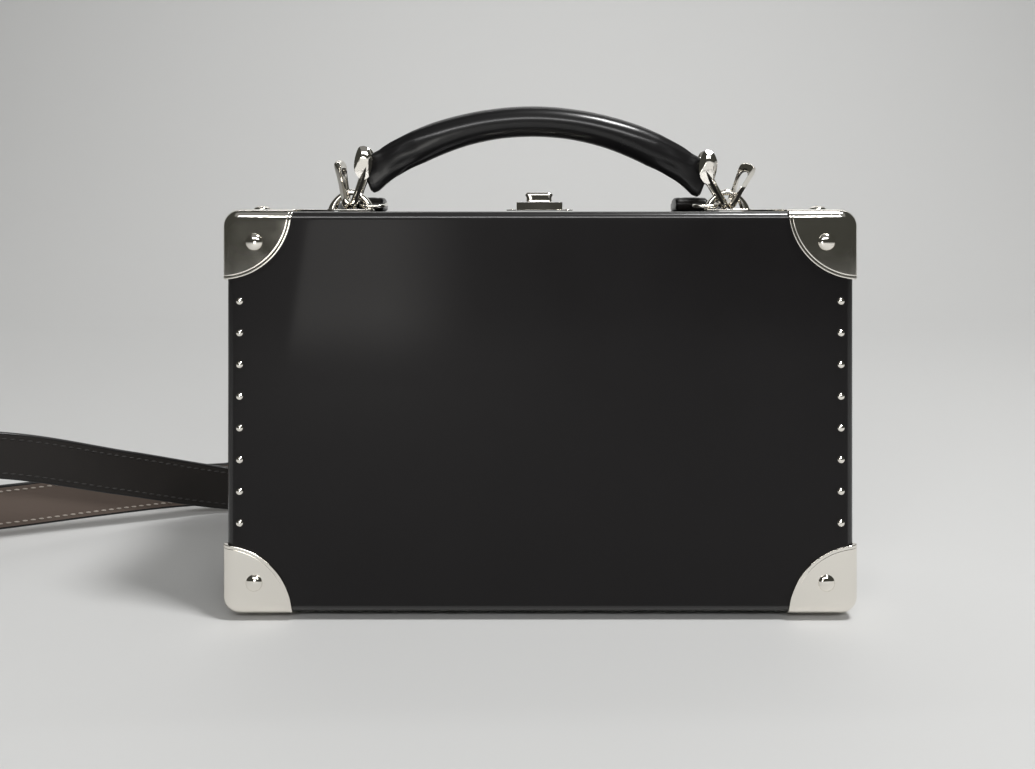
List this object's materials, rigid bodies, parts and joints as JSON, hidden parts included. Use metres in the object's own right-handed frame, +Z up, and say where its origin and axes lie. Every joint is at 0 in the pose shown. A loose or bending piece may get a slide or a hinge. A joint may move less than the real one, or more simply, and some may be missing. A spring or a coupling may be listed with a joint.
{
  "type": "box bag",
  "caption": "Hard box handbag in black leather with metal corners, dome nails, a rolled top handle on links, a turn lock and a long shoulder strap.",
  "frame": {"origin": "middle of the case's flat underside, above the feet", "axes": "+X to the wearer's right of the front panel as seen from the front, +Y from the front panel (lid) to the back, +Z up"},
  "size_m": [0.4819, 0.1516, 0.1817],
  "materials": {
    "case_leather": "smooth black calf leather, satin gloss",
    "handle_leather": "rolled black leather, polished",
    "strap_leather": "black leather, stitched, with a taupe lining",
    "nickel": "polished nickel plate"
  },
  "bodies": {
    "back": {"case_back": "case_leather", "corner_back_bottom_left": "nickel", "corner_back_bottom_right": "nickel", "corner_back_top_left": "nickel", "corner_back_top_right": "nickel", "nail_back_left_1": "nickel", "nail_back_left_2": "nickel", "nail_back_left_3": "nickel", "nail_back_left_4": "nickel", "nail_back_left_5": "nickel", "nail_back_left_6": "nickel", "nail_back_left_7": "nickel", "nail_back_left_8": "nickel", "nail_back_right_1": "nickel", "nail_back_right_2": "nickel", "nail_back_right_3": "nickel", "nail_back_right_4": "nickel", "nail_back_right_5": "nickel", "nail_back_right_6": "nickel", "nail_back_right_7": "nickel", "nail_back_right_8": "nickel", "lock_plate": "nickel", "hinge_back": "nickel", "handle": "handle_leather", "loop_left": "nickel", "loop_right": "nickel", "link_left_inner": "nickel", "link_left_outer": "nickel", "link_right_inner": "nickel", "link_right_outer": "nickel", "strap_ring_left": "nickel", "strap_ring_right": "nickel", "shoulder_strap": "strap_leather"},
    "lid": {"case_lid": "case_leather", "corner_lid_bottom_left": "nickel", "corner_lid_bottom_right": "nickel", "corner_lid_top_left": "nickel", "corner_lid_top_right": "nickel", "nail_lid_left_1": "nickel", "nail_lid_left_2": "nickel", "nail_lid_left_3": "nickel", "nail_lid_left_4": "nickel", "nail_lid_left_5": "nickel", "nail_lid_left_6": "nickel", "nail_lid_left_7": "nickel", "nail_lid_left_8": "nickel", "nail_lid_right_1": "nickel", "nail_lid_right_2": "nickel", "nail_lid_right_3": "nickel", "nail_lid_right_4": "nickel", "nail_lid_right_5": "nickel", "nail_lid_right_6": "nickel", "nail_lid_right_7": "nickel", "nail_lid_right_8": "nickel", "lock_hasp": "nickel", "hinge_lid": "nickel"},
    "knob": {"lock_knob": "nickel"}
  },
  "joints": [
    {"name": "lid_hinge", "type": "hinge", "parent": "back", "child": "lid", "pos_m": [0, -0.01, -0.0009], "axis": [1, 0, 0], "range_deg": [0, 100]},
    {"name": "knob_turn", "type": "hinge", "parent": "back", "child": "knob", "pos_m": [0, -0.0034, 0.1425], "axis": [0, 0, 1], "range_deg": [0, 90]}
  ]
}
